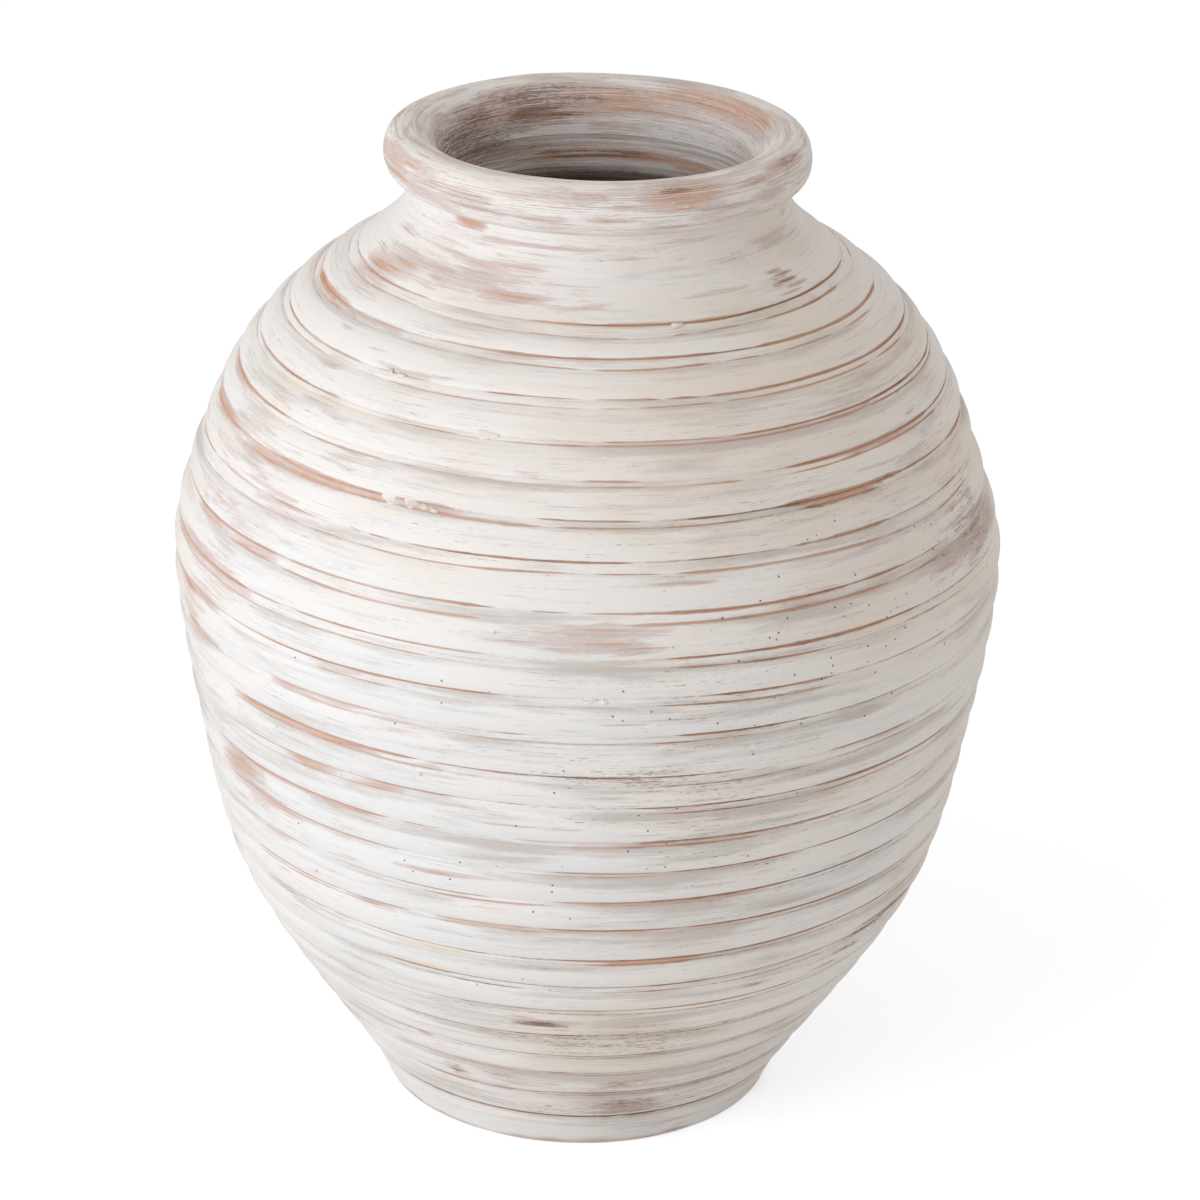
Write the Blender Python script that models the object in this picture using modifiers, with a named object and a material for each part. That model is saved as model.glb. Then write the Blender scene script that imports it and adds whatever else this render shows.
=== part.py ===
# Whitewashed terracotta planter jar, thrown in sections and luted together.
# Metres, +Z up. The origin is the centre of the face that the foot stands on.
import math

import bmesh
import bpy
import numpy as np

# Overall form, taken over the crests of the thrown bands
HEIGHT = 0.500
FOOT_RADIUS = 0.0985
BELLY_RADIUS = 0.2045
BELLY_HEIGHT = 0.285
NECK_RADIUS = 0.0908
NECK_DROP = 0.0265          # from the crest of the rim down to the neck's seam
WALL = 0.012

# Rolled rim, an oval in section
RIM_RADIUS = 0.1030
CREST_RADIUS = 0.0915
MOUTH_RADIUS = 0.0750
RIM_WIDEST_DROP = 0.0145    # from the crest down to the widest point
RIM_FULLNESS = 2.6          # 2 is an oval, more is fuller between crest and widest point

# Throat, the straight inside of the neck under the rim
THROAT_RADIUS = 0.0758
THROAT_DROP = 0.0470        # from the crest of the rim down to where the throat opens out
THROAT_ROUND = 0.0040

# Thrown bands: raised between grooves that lie at these shares of the wall's height
BAND_RELIEF = 0.0013
BAND_FULLNESS = 2.4
GROOVES = (0.041, 0.083, 0.122, 0.155, 0.189, 0.230, 0.269, 0.305, 0.342, 0.378, 0.414, 0.449,
           0.489, 0.527, 0.571, 0.611, 0.651, 0.695, 0.741, 0.778, 0.813, 0.845, 0.877, 0.907,
           0.931)

# Swell of the wall: share of the height and share of the radius, between named sizes
LOWER_SWELL = ((0.0, 0.0), (0.035, 0.044), (0.119, 0.186), (0.218, 0.366), (0.358, 0.603),
               (0.446, 0.724), (0.533, 0.799), (0.709, 0.895), (0.884, 0.974), (1.0, 1.0))
UPPER_SWELL = ((0.090, 0.006), (0.223, 0.065), (0.355, 0.141), (0.472, 0.220), (0.581, 0.325),
               (0.674, 0.450), (0.753, 0.590), (0.817, 0.740), (0.870, 0.865), (0.915, 0.942),
               (0.958, 0.984), (1.0, 1.0))

# Foot, base and drain
FOOT_RING_WIDTH = 0.018
FOOT_EDGE = 0.0015
LEDGE_HEIGHT = 0.0070
SLAB_COVER = 0.004          # how far the lower wall reaches in over the slab
DRAIN_RADIUS = 0.011
PLUG_FLANGE = 0.007         # how far the flange reaches past the hole
PLUG_FLANGE_HEIGHT = 0.003
PLUG_TIP = 0.002            # how far the stem shows under the slab
PLUG_GRIP_RADIUS = 0.005
PLUG_GRIP_HEIGHT = 0.009

# Seams between the sections
SEAM_LAP = 0.006
GAP = 0.0003
LOWER_SEAM = 7              # groove that hides the seam over the lower wall
BELLY_SEAM = 15
SHOULDER_SEAM = 24

SEGMENTS = 40
SLOPE_STEP = 0.0005         # the wall's slope is measured this far up and down

NECK_HEIGHT = HEIGHT - NECK_DROP
GROOVE_HEIGHTS = np.array(GROOVES) * NECK_HEIGHT


def remove_all():
    for obj in list(bpy.data.objects):
        bpy.data.objects.remove(obj, do_unlink=True)


def material(name, colour, roughness):
    mat = bpy.data.materials.new(name)
    mat.use_nodes = True
    shader = mat.node_tree.nodes["Principled BSDF"]
    shader.inputs["Base Color"].default_value = (*colour, 1.0)
    shader.inputs["Roughness"].default_value = roughness
    shader.inputs["Metallic"].default_value = 0.0
    return mat


def swell_points():
    """Heights and radii of the crest line, from the foot to the neck's seam."""
    heights = [share * BELLY_HEIGHT for share, _ in LOWER_SWELL]
    radii = [FOOT_RADIUS + share * (BELLY_RADIUS - FOOT_RADIUS) for _, share in LOWER_SWELL]
    heights += [BELLY_HEIGHT + share * (NECK_HEIGHT - BELLY_HEIGHT) for share, _ in UPPER_SWELL]
    radii += [BELLY_RADIUS + share * (NECK_RADIUS - BELLY_RADIUS) for _, share in UPPER_SWELL]
    return np.array(heights), np.array(radii)


def crest_line(z):
    """Radius at height z on a smooth curve through the swell points (cubic Hermite)."""
    heights, radii = swell_points()
    slopes = np.gradient(radii, heights)
    i = np.clip(np.searchsorted(heights, z) - 1, 0, len(heights) - 2)
    step = heights[i + 1] - heights[i]
    t = (z - heights[i]) / step
    return ((1 + 2 * t) * (1 - t) ** 2 * radii[i] + t * (1 - t) ** 2 * step * slopes[i]
            + t * t * (3 - 2 * t) * radii[i + 1] + t * t * (t - 1) * step * slopes[i + 1])


def band_depth(z):
    """Depth under the crest line: nothing at a band's middle, BAND_RELIEF in a groove."""
    edges = np.concatenate(([0.0], GROOVE_HEIGHTS, [NECK_HEIGHT]))
    i = np.clip(np.searchsorted(edges, z) - 1, 0, len(edges) - 2)
    across = 2.0 * (z - edges[i]) / (edges[i + 1] - edges[i]) - 1.0
    # The first and the last band are flat towards the foot's edge and the neck
    across = np.where((i == 0) & (across < 0.0), 0.0, across)
    across = np.where((i == len(edges) - 2) & (across > 0.0), 0.0, across)
    return BAND_RELIEF * np.abs(across) ** BAND_FULLNESS


def wall_slope(z):
    """Change of the crest line's radius with height."""
    return (crest_line(z + SLOPE_STEP) - crest_line(z - SLOPE_STEP)) / (2 * SLOPE_STEP)


def wall_point(z, depth):
    """Point of the wall's section: the outer face at height z, moved in square to the wall."""
    slope = wall_slope(z)
    length = math.hypot(1.0, slope)
    radius = crest_line(z) - (band_depth(z) if depth == 0.0 else 0.0)
    return (float(radius - depth / length), float(z + depth * slope / length))


def along_wall(z, distance):
    """Height that lies this distance further up along the wall."""
    return z + distance / math.hypot(1.0, wall_slope(z))


def outer_heights(low, high):
    """Grooves and band middles between two heights, from the top down, ends left out."""
    edges = np.concatenate(([0.0], GROOVE_HEIGHTS, [NECK_HEIGHT]))
    middles = (edges[:-1] + edges[1:]) / 2
    margin = SEAM_LAP / 3
    inside = [z for z in np.concatenate((edges, middles)) if low + margin < z < high - margin]
    return sorted(inside, reverse=True)


def inner_heights(low, high, count):
    return list(np.linspace(low, high, count + 2)[1:-1])


def lower_joint(seam):
    """Top end of a section: a ledge outside and a tongue inside, from inner to outer face."""
    ledge = along_wall(seam, -GAP / 2)
    tongue = along_wall(seam, SEAM_LAP - GAP / 2)
    middle = (WALL + GAP) / 2
    return [wall_point(tongue, WALL), wall_point(tongue, middle), wall_point(ledge, middle)]


def upper_joint(seam):
    """Bottom end of the next section: a skirt outside the tongue, from outer to inner face."""
    skirt = along_wall(seam, GAP / 2)
    recess = along_wall(seam, SEAM_LAP + GAP / 2)
    middle = (WALL - GAP) / 2
    return [wall_point(skirt, middle), wall_point(recess, middle), wall_point(recess, WALL)]


def wall_section(low, high, inner_count, bottom, top):
    """Closed outline of a section whose outer face lies between two seams."""
    first = along_wall(low, GAP / 2)
    last = along_wall(high, -GAP / 2)
    outer = [wall_point(z, 0.0) for z in [last] + outer_heights(low, high) + [first]]
    inner = [wall_point(z, WALL)
             for z in inner_heights(low + SEAM_LAP, high + SEAM_LAP / 2, inner_count)]
    return outer + bottom + inner + top


def arc(centre_r, centre_z, size_r, size_z, start, end, count, fullness=2.0):
    """Points along an oval, by angle in degrees from +R towards +Z."""
    angles = np.radians(np.linspace(start, end, count))
    across, up = np.cos(angles), np.sin(angles)
    power = 2.0 / fullness
    radii = centre_r + size_r * np.sign(across) * np.abs(across) ** power
    heights = centre_z + size_z * np.sign(up) * np.abs(up) ** power
    return list(zip(radii.tolist(), heights.tolist()))


def turned(name, outline, mat, closed=True):
    """Turn an outline of (radius, height) points about the Z axis into a smooth solid."""
    count = len(outline)
    edges = [(i, i + 1) for i in range(count - 1)]
    if closed:
        edges.append((count - 1, 0))
    mesh = bpy.data.meshes.new(name)
    mesh.from_pydata([(r, 0.0, z) for r, z in outline], edges, [])
    obj = bpy.data.objects.new(name, mesh)
    parts.objects.link(obj)
    obj.data.materials.append(mat)
    screw = obj.modifiers.new("Turn", "SCREW")
    screw.axis = "Z"
    screw.angle = 2 * math.pi
    screw.steps = SEGMENTS
    screw.render_steps = SEGMENTS
    screw.use_merge_vertices = True
    screw.merge_threshold = 0.00001
    screw.use_smooth_shade = True
    finish(obj)


def finish(obj):
    """Keep the evaluated mesh, with its steep edges marked sharp."""
    bpy.context.view_layer.update()
    evaluated = obj.evaluated_get(bpy.context.evaluated_depsgraph_get())
    mesh = bpy.data.meshes.new_from_object(evaluated)
    mesh.name = obj.name
    obj.modifiers.clear()
    obj.data = mesh
    mesh.shade_smooth()
    mesh.set_sharp_from_angle(angle=math.radians(40))


def foot_ring():
    seam = GROOVE_HEIGHTS[0]
    top = seam - GAP / 2
    bottom_radius = FOOT_RADIUS - FOOT_EDGE
    seat = slab_radius() + GAP
    outline = [wall_point(top, 0.0)]
    outline += [wall_point(z, 0.0) for z in outer_heights(FOOT_EDGE, seam)]
    outline += [wall_point(FOOT_EDGE, 0.0), (bottom_radius, 0.0)]
    outline += [(bottom_radius - FOOT_RING_WIDTH, 0.0), (bottom_radius - FOOT_RING_WIDTH, LEDGE_HEIGHT)]
    outline += [(seat, LEDGE_HEIGHT), (seat, top)]
    turned("foot_ring", outline, whitewash("foot_wash"))


def slab_radius():
    """The base slab fills the foot ring up to the thickness of its wall."""
    return wall_point(GROOVE_HEIGHTS[0], 0.0)[0] - WALL


def base_slab():
    top = GROOVE_HEIGHTS[0] - GAP / 2
    bottom = LEDGE_HEIGHT + GAP
    radius = slab_radius()
    outline = [(radius, top), (radius, bottom), (DRAIN_RADIUS, bottom), (DRAIN_RADIUS, top)]
    turned("base_slab", outline, bare_clay("slab_clay"))


def drain_plug():
    slab_top = GROOVE_HEIGHTS[0] - GAP / 2
    slab_bottom = LEDGE_HEIGHT + GAP
    seat = slab_top + GAP
    stem = DRAIN_RADIUS - GAP
    flange = DRAIN_RADIUS + PLUG_FLANGE
    tip = slab_bottom - PLUG_TIP
    grip_top = seat + PLUG_FLANGE_HEIGHT + PLUG_GRIP_HEIGHT
    grip_foot = seat + PLUG_FLANGE_HEIGHT
    crown = PLUG_GRIP_RADIUS / 2
    outline = [(0.0, grip_top)]
    outline += arc(0.0, grip_top - crown, PLUG_GRIP_RADIUS, crown, 60, 0, 3)
    outline += [(PLUG_GRIP_RADIUS * 0.7, grip_foot)]
    outline += [(flange - PLUG_FLANGE_HEIGHT / 2, grip_foot), (flange, grip_foot - PLUG_FLANGE_HEIGHT / 2)]
    outline += [(flange, seat), (stem, seat), (stem, slab_bottom), (stem * 0.9, tip), (0.0, tip)]
    turned("drain_plug", outline, rubber("plug_rubber"), closed=False)


def lower_wall():
    low = GROOVE_HEIGHTS[0]
    high = GROOVE_HEIGHTS[LOWER_SEAM]
    start = low + GAP / 2
    inner_edge = slab_radius() - SLAB_COVER
    bottom = [(inner_edge, start), (inner_edge, start + SLAB_COVER / 2)]
    outline = wall_section(low, high, 5, bottom, lower_joint(high))
    turned("lower_wall", outline, whitewash("lower_wash"))


def belly_wall():
    low = GROOVE_HEIGHTS[LOWER_SEAM]
    high = GROOVE_HEIGHTS[BELLY_SEAM]
    outline = wall_section(low, high, 5, upper_joint(low), lower_joint(high))
    turned("belly_wall", outline, whitewash("belly_wash"))


def shoulder_wall():
    low = GROOVE_HEIGHTS[BELLY_SEAM]
    high = GROOVE_HEIGHTS[SHOULDER_SEAM]
    outline = wall_section(low, high, 7, upper_joint(low), lower_joint(high))
    turned("shoulder_wall", outline, whitewash("shoulder_wash"))


def throat(low, top):
    """Inner face of the neck, from the joint up: it draws in to a straight throat."""
    joint_radius, joint_height = wall_point(low, WALL)
    opening = HEIGHT - THROAT_DROP
    flare = THROAT_RADIUS + THROAT_ROUND
    share = (joint_radius - flare) / (joint_radius - THROAT_RADIUS)
    corner = joint_height + share * (opening - joint_height)
    lip = top - (THROAT_RADIUS - MOUTH_RADIUS)
    return [(flare, corner), (THROAT_RADIUS, opening + THROAT_ROUND), (THROAT_RADIUS, lip)]


def neck_collar():
    low = GROOVE_HEIGHTS[SHOULDER_SEAM]
    top = NECK_HEIGHT - GAP / 2
    heights = np.linspace(along_wall(low, GAP / 2), top, 7)[::-1]
    outer = [wall_point(z, 0.0) for z in heights]
    inner = throat(along_wall(low, SEAM_LAP + GAP / 2), top)
    outline = outer + upper_joint(low) + inner + [(MOUTH_RADIUS, top)]
    turned("neck_collar", outline, whitewash("neck_wash"))


def rolled_rim():
    bottom = NECK_HEIGHT + GAP / 2
    widest = HEIGHT - RIM_WIDEST_DROP
    under = widest - bottom
    swell = RIM_RADIUS - CREST_RADIUS
    outline = arc(CREST_RADIUS, widest, CREST_RADIUS - MOUTH_RADIUS, RIM_WIDEST_DROP, 180, 90, 6)
    outline += arc(CREST_RADIUS, widest, swell, RIM_WIDEST_DROP, 90, 0, 6, RIM_FULLNESS)[1:]
    outline += arc(CREST_RADIUS, widest, swell, under, 0, -90, 5)[1:]
    outline += [(MOUTH_RADIUS, bottom)]
    turned("rolled_rim", outline, whitewash("rim_wash"))


def whitewash(name):
    return material(name, (0.78, 0.74, 0.70), 0.85)


def bare_clay(name):
    return material(name, (0.46, 0.24, 0.15), 0.9)


def rubber(name):
    return material(name, (0.035, 0.033, 0.032), 0.6)


remove_all()
parts = bpy.data.collections.new("Planter jar")
bpy.context.scene.collection.children.link(parts)

foot_ring()
base_slab()
drain_plug()
lower_wall()
belly_wall()
shoulder_wall()
neck_collar()
rolled_rim()
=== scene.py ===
from math import cos, pi, radians, sin

import bmesh
import bpy
import numpy as np
from mathutils import Matrix, Vector


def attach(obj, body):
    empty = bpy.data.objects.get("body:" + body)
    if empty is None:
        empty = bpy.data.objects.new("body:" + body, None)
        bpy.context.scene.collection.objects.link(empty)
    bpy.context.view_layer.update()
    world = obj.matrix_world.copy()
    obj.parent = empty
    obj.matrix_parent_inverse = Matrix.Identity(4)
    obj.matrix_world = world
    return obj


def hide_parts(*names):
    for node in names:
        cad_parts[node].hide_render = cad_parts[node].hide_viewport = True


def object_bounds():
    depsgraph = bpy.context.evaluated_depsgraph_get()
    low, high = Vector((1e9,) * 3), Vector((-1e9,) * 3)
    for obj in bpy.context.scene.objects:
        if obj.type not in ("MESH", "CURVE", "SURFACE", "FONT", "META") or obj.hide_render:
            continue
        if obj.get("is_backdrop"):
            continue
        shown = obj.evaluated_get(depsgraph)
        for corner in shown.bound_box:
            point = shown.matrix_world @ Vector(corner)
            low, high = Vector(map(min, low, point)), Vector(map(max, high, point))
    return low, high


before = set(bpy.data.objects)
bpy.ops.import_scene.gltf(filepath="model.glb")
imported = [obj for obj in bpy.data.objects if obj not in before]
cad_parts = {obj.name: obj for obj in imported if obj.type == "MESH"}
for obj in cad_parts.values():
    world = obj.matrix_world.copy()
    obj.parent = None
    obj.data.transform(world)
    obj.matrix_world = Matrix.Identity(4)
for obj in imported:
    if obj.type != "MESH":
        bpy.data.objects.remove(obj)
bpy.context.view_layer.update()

for name in ("Cube", "Light", "Camera"):  # Blender's own start-up objects
    if name in bpy.data.objects:
        bpy.data.objects.remove(bpy.data.objects[name], do_unlink=True)
print("frame:", len(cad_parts), "CAD nodes")

mm = 0.001
seeded = np.random.default_rng
draw = seeded(7)


def unit(x):
    # held between 0 and 1
    return np.clip(x, 0, 1)


# The jar's own sizes, as the CAD has them. Swells and grooves are shares of height and radius.
jar = {
    "footRadius": .0985, "bellyRadius": .2045, "bellyHeight": .285,
    "neckRadius": .0908, "neckHeight": .4735, "mouthRadius": .075,
    "wall": .012, "lap": .006, "gap": .0003,
    "lowerSwell": ((0, 0), (.035, .044), (.119, .186), (.218, .366), (.358, .603), (.446, .724),
                   (.533, .799), (.709, .895), (.884, .974), (1, 1)),
    "upperSwell": ((.09, .006), (.223, .065), (.355, .141), (.472, .22), (.581, .325), (.674, .45),
                   (.753, .59), (.817, .74), (.87, .865), (.915, .942), (.958, .984), (1, 1)),
    "grooves": (.041, .083, .122, .155, .189, .23, .269, .305, .342, .378, .414, .449, .489, .527, .571,
                .611, .651, .695, .741, .778, .813, .845, .877, .907, .931),
    "lean": ((0, 0), (.25, 0), (.3, -.3), (.34, -1.2), (.385, 0), (.42, 1.8), (.445, 2.2),
             (.4735, 1), (.49, .3), (.51, 0)),  # height, mm to the right
    "fullness": 2.4,  # how square a band is
    "inset": .3, "relief": 1.5,  # the crests under the CAD's, the bands' own depth, in mm
    "cut": .3, "cutWidth": .4, "lowCut": .14, "topCut": -.1,  # the grooves' own cut, in mm
    "nearLine": (0, .22, .45, .75, 1.2),  # where rows stand beside a groove's line, in mm
    "samples": 4000, "crestRows": 10, "segments": 384,
}
wall, lap, gap, neckHeight = [jar[key] for key in ("wall", "lap", "gap", "neckHeight")]
lower, upper = np.array(jar["lowerSwell"]), np.array(jar["upperSwell"])
swellHeights = np.concatenate((
    lower[:, 0] * jar["bellyHeight"],
    jar["bellyHeight"] + upper[:, 0] * (neckHeight - jar["bellyHeight"])))
swellRadii = np.concatenate((
    jar["footRadius"] + lower[:, 1] * (jar["bellyRadius"] - jar["footRadius"]),
    jar["bellyRadius"] + upper[:, 1] * (jar["neckRadius"] - jar["bellyRadius"])))


def smoothCurve(t, places, values):
    # cubic Hermite curve through the values at these places, read at t, sloped as their neighbours are
    slopes = np.gradient(values, places)
    i = np.clip(np.searchsorted(places, t) - 1, 0, len(places) - 2)
    step = places[i + 1] - places[i]
    u = (t - places[i]) / step
    return ((1 + 2 * u) * (1 - u) ** 2 * values[i] + u * (1 - u) ** 2 * step * slopes[i]
            + u * u * (3 - 2 * u) * values[i + 1] + u * u * (u - 1) * step * slopes[i + 1])


def crestRadius(z):
    # radius over the bands' crests at height z
    return smoothCurve(z, swellHeights, swellRadii)


def wallSlope(z):
    # change of the crest radius with height, over a millimetre
    return (crestRadius(z + .5 * mm) - crestRadius(z - .5 * mm)) / mm


heightTable = np.linspace(0, neckHeight, jar["samples"])
stretches = np.hypot(np.diff(heightTable), np.diff(crestRadius(heightTable)))
pathTable = np.concatenate(([0], np.cumsum(stretches)))
neckPath = pathTable[-1]


def pathAt(z):
    # distance from the foot along the wall at height z
    return np.interp(z, heightTable, pathTable)


groovePath = pathAt(np.array(jar["grooves"]) * neckHeight)
angles = np.linspace(-pi, pi, jar["segments"], endpoint=False)  # 0 is the front


def waves(turns, sizes, seed):
    # sum of size * cos(turn * angle + phase) round the jar
    phases = seeded(seed).uniform(0, 2 * pi, len(turns))
    return sum(size * np.cos(turn * angles + phase)
               for turn, size, phase in zip(turns, sizes, phases))


def toolMarks(path, seed, lengths, size):
    # mean of size * sin(2 pi path / length + drift), where the drift changes slowly with the angle
    own = seeded(seed)
    total = 0.0
    for length in lengths:
        phase, drift, turn = own.uniform(0, 6.28), own.uniform(.5, 2.5), own.integers(1, 5)
        total = total + np.sin(2 * pi * path / (length * mm) + phase
                               + drift * np.sin(turn * angles + phase * 3))
    return total * (size * mm) / len(lengths)


def fineMarks(path):
    # tool marks of a twentieth of a millimetre
    return toolMarks(path, 40, (2.9, 4.3, 6.1), .05)


def handMade(path):
    # depth that the hand adds: the inset, less slow swells over the wall, plus fine tool marks
    rise = path / neckPath * pi
    swells = (waves((2, 3), (.22, .16), 21) * np.sin(rise + .6)
              + waves((1, 4, 5), (.16, .12, .08), 22) * np.sin(2 * rise))
    return (jar["inset"] - swells * .5) * mm + fineMarks(path)


# Strokes of bare clay on the two lines of each groove: start and end angle in degrees and
# half width in mm, from the neck's groove down
strokes = {}
strokes["upper"] = {
    24: [(-85, -42, .42), (-64, -54, .6), (-16, 85, .5), (0, 33, .75)],
    23: [(-85, -60, 1.5), (-60, -41, .45), (-34, 27, .5), (-1, 26, .6), (26, 33, .25), (33, 85, .72)],
    22: [(-85, -46, .5), (-41, -30, .3), (-22, -1, .32), (-1, 12, .42), (12, 20, .3), (20, 85, .68)],
    21: [(-85, -46, .42), (0, 22, .28), (22, 85, .45)],
    20: [(-85, -54, .55), (-3, 9, .28), (31, 68, .68), (68, 85, .4)],
    19: [(-85, -67, 1.3), (-67, -52, .35), (-52, -30, .6), (-30, -19, .45), (-8, 8, .32), (13, 22, .42),
        (29, 54, 1), (54, 70, .5), (70, 85, .9)],
    18: [(-85, -72, .6), (-72, -40, .22), (-35, -27, .32), (-27, 8, .44), (13, 30, .3), (30, 34, .85),
        (34, 49, .62), (49, 72, .2)],
    17: [(-85, -47, .4), (-47, -12, .52), (-9, -1, .28), (-1, 40, .6), (9, 33, .75), (40, 51, .5),
        (51, 60, .25)], 16: [(-85, -52, .9), (-52, -43, .35), (-43, -11, .45), (10, 52, .6), (26, 46, .78)],
    15: [(-73, -10, .52), (16, 35, .62), (35, 60, .2)],
    14: [(-47, -28, .5), (-13, -6, .25), (11, 30, .52), (29, 31, 1.1)],
    13: [(-55, -22, .9), (-22, 9, .32), (-3, 24, .36), (35, 51, .42)],
    12: [(-60, -17, .46), (-12, -6, .22), (6, 33, .38), (33, 64, .72)],
    11: [(-60, -27, .75), (-27, -20, .3), (-11, 7, .22), (7, 41, .52), (41, 60, .35)],
    10: [(-64, -24, .35), (-5, 12, .36), (12, 33, .42), (33, 60, .32)],
    9: [(-70, -42, .3), (-42, -12, .25), (-4, 33, .58), (33, 56, .36)],
    8: [(-60, -25, .32), (-23, -6, .46), (-6, 15, .55), (3, 11, .8), (15, 47, .46)],
    7: [(-59, -42, .42), (-42, -12, .26), (-6, 15, .42), (7, 20, .85), (20, 59, .46)],
    6: [(-55, -42, .25), (-35, -18, .46), (10, 22, .48), (31, 46, .3)],
    5: [(-52, -30, .2), (-22, -6, .3), (-6, 7, .3), (9, 41, .42)],
    4: [(-42, -20, .36), (-14, -5, .3), (25, 31, .55), (31, 52, .3)],
    3: [(-58, -29, .36), (-29, -6, .3), (-4, 1, .3), (9, 20, .3), (33, 54, .25)],
    2: [(-46, -20, .3), (-8, 7, .42), (12, 15, .36), (29, 37, .4), (42, 52, .36)],
    1: [(-42, -22, .5), (-22, 13, .46), (46, 54, .3)],
    0: [(-54, -33, .25), (-33, -6, .3), (-6, 12, .38), (12, 24, .65), (24, 41, .3)]}
strokes["lower"] = {
    24: [(-77, -42, .25), (-30, -16, .25), (-16, 8, .32), (17, 20, .9), (22, 33, .5), (39, 70, .62)],
    23: [(-58, -54, .5), (-40, -28, .22), (-28, -1, .32), (-1, 23, .6), (25, 34, .3), (39, 54, .65),
        (58, 72, .42)],
    22: [(-77, -56, .35), (-40, 0, .25), (0, 7, .4), (7, 23, .3), (23, 59, .52), (59, 76, .32)],
    21: [(-33, -22, .3), (-16, 0, .42), (0, 51, .66), (51, 85, .38)],
    20: [(-53, -32, .46), (-32, -25, .3), (0, 10, .42), (15, 24, .42), (30, 46, .3), (39, 71, .42)],
    19: [(-70, -59, .25), (-59, -29, .5), (-29, -6, .66), (-6, 24, .36), (24, 28, .22), (33, 48, .8)],
    18: [(-77, -43, .2), (-43, -35, .38), (-33, -1, .44), (1, 12, .34), (12, 47, .62), (47, 72, .22)],
    17: [(-60, -47, .45), (-47, -14, .6), (5, 46, .72), (46, 59, .42)],
    16: [(-69, -43, .25), (-43, -20, .32), (11, 35, .48), (46, 70, .15)],
    15: [(-50, -43, .2), (-39, -24, .25), (9, 34, .38)], 14: [(-46, -32, .32), (-19, 24, .18)],
    13: [(-55, -12, .25), (9, 33, .32), (33, 59, .2)], 12: [(-55, -25, .25), (6, 54, .26)],
    11: [(-4, 26, .48)], 10: [(-1, 12, .26)], 9: [(-24, -4, .36)], 8: [(-60, -30, .22), (-23, -4, .3)],
    7: [(-55, -48, .4), (-6, -1, .3), (1, 20, .52)], 6: [(-22, -6, .26), (9, 16, .3)]}
# Height of the shelf between a groove's two lines, in mm, from the foot's groove up
shelves = (2.4, 2.4, 2.4, 2.4, 2.4, 3.4, 3.8, 2.6, 2.4, 2.4, 2.2, 2.6, 3.9, 4.2, 3.4, 4.1, 4.9, 5, 6.2,
           3.3, 2.7, 2.3, 4, 5, 6.2)
# Shelves rubbed, thinly painted or stained between those lines: start and end angle, amount
fills = {}
fills["clay"] = {
    23: [(-85, -61, .7)], 21: [(49, 53, .7)], 20: [(-85, -67, .62), (43, 47, .75), (55, 58, .6)],
    19: [(-85, -68, .55), (-61, -39, .4), (-37, -29, .55), (-28, -25, .7), (-23, -19, .65), (33, 46, 1.2)],
    17: [(-72, -58, .4), (29, 33, .6)], 16: [(-80, -58, .55)], 15: [(-71, -60, .6)],
    14: [(-72, -60, .7), (-46, -31, .5)], 13: [(-56, -40, .62), (-36, -33, .6)],
    12: [(-44, -37, .8), (-30, -26, .55)], 11: [(-58, -30, .62), (6, 30, .55)], 10: [(18, 33, .5)],
    9: [(1, 27, .72)], 8: [(-21, 13, .5), (13, 28, .4)], 7: [(5, 19, 1)], 1: [(-34, -28, .5)]}
fills["veil"] = {
    24: [(-85, -45, .6), (52, 60, .4)], 23: [(-61, -42, .8), (16, 27, .8), (42, 52, .8), (-30, 0, .3)],
    22: [(-85, -45, .5), (8, 22, .4)], 21: [(-80, -50, .55), (-5, 25, .35)],
    20: [(-67, -52, .7), (-4, 10, .6)], 19: [(-19, 0, .4)], 18: [(-75, -40, .35)],
    17: [(-85, -47, .85), (-47, -20, .2)], 16: [(-85, -50, .5), (-40, -30, .4)],
    15: [(-39, -24, .75), (-85, -70, .7)], 14: [(-31, -17, .7), (-85, -60, .5)],
    13: [(-40, -18, .8), (-18, 3, .5)], 12: [(-60, -44, .5), (4, 20, .4)], 11: [(-30, -21, .7), (-5, 6, .4)],
    10: [(-66, -24, .7)], 9: [(-65, -38, .6), (-24, -14, .7)], 8: [(-40, -24, .5)],
    7: [(-58, -36, .9), (-5, 5, .5)], 6: [(-50, -30, .5), (5, 18, .5)], 5: [(-40, -15, .35)],
    4: [(-30, 12, .6)], 3: [(-45, -10, .5)], 2: [(-42, 0, .7)], 1: [(-38, 5, .95)], 0: [(-50, 20, .5)]}
fills["dark"] = {
    2: [(-8, -2, .4)]}
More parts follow.
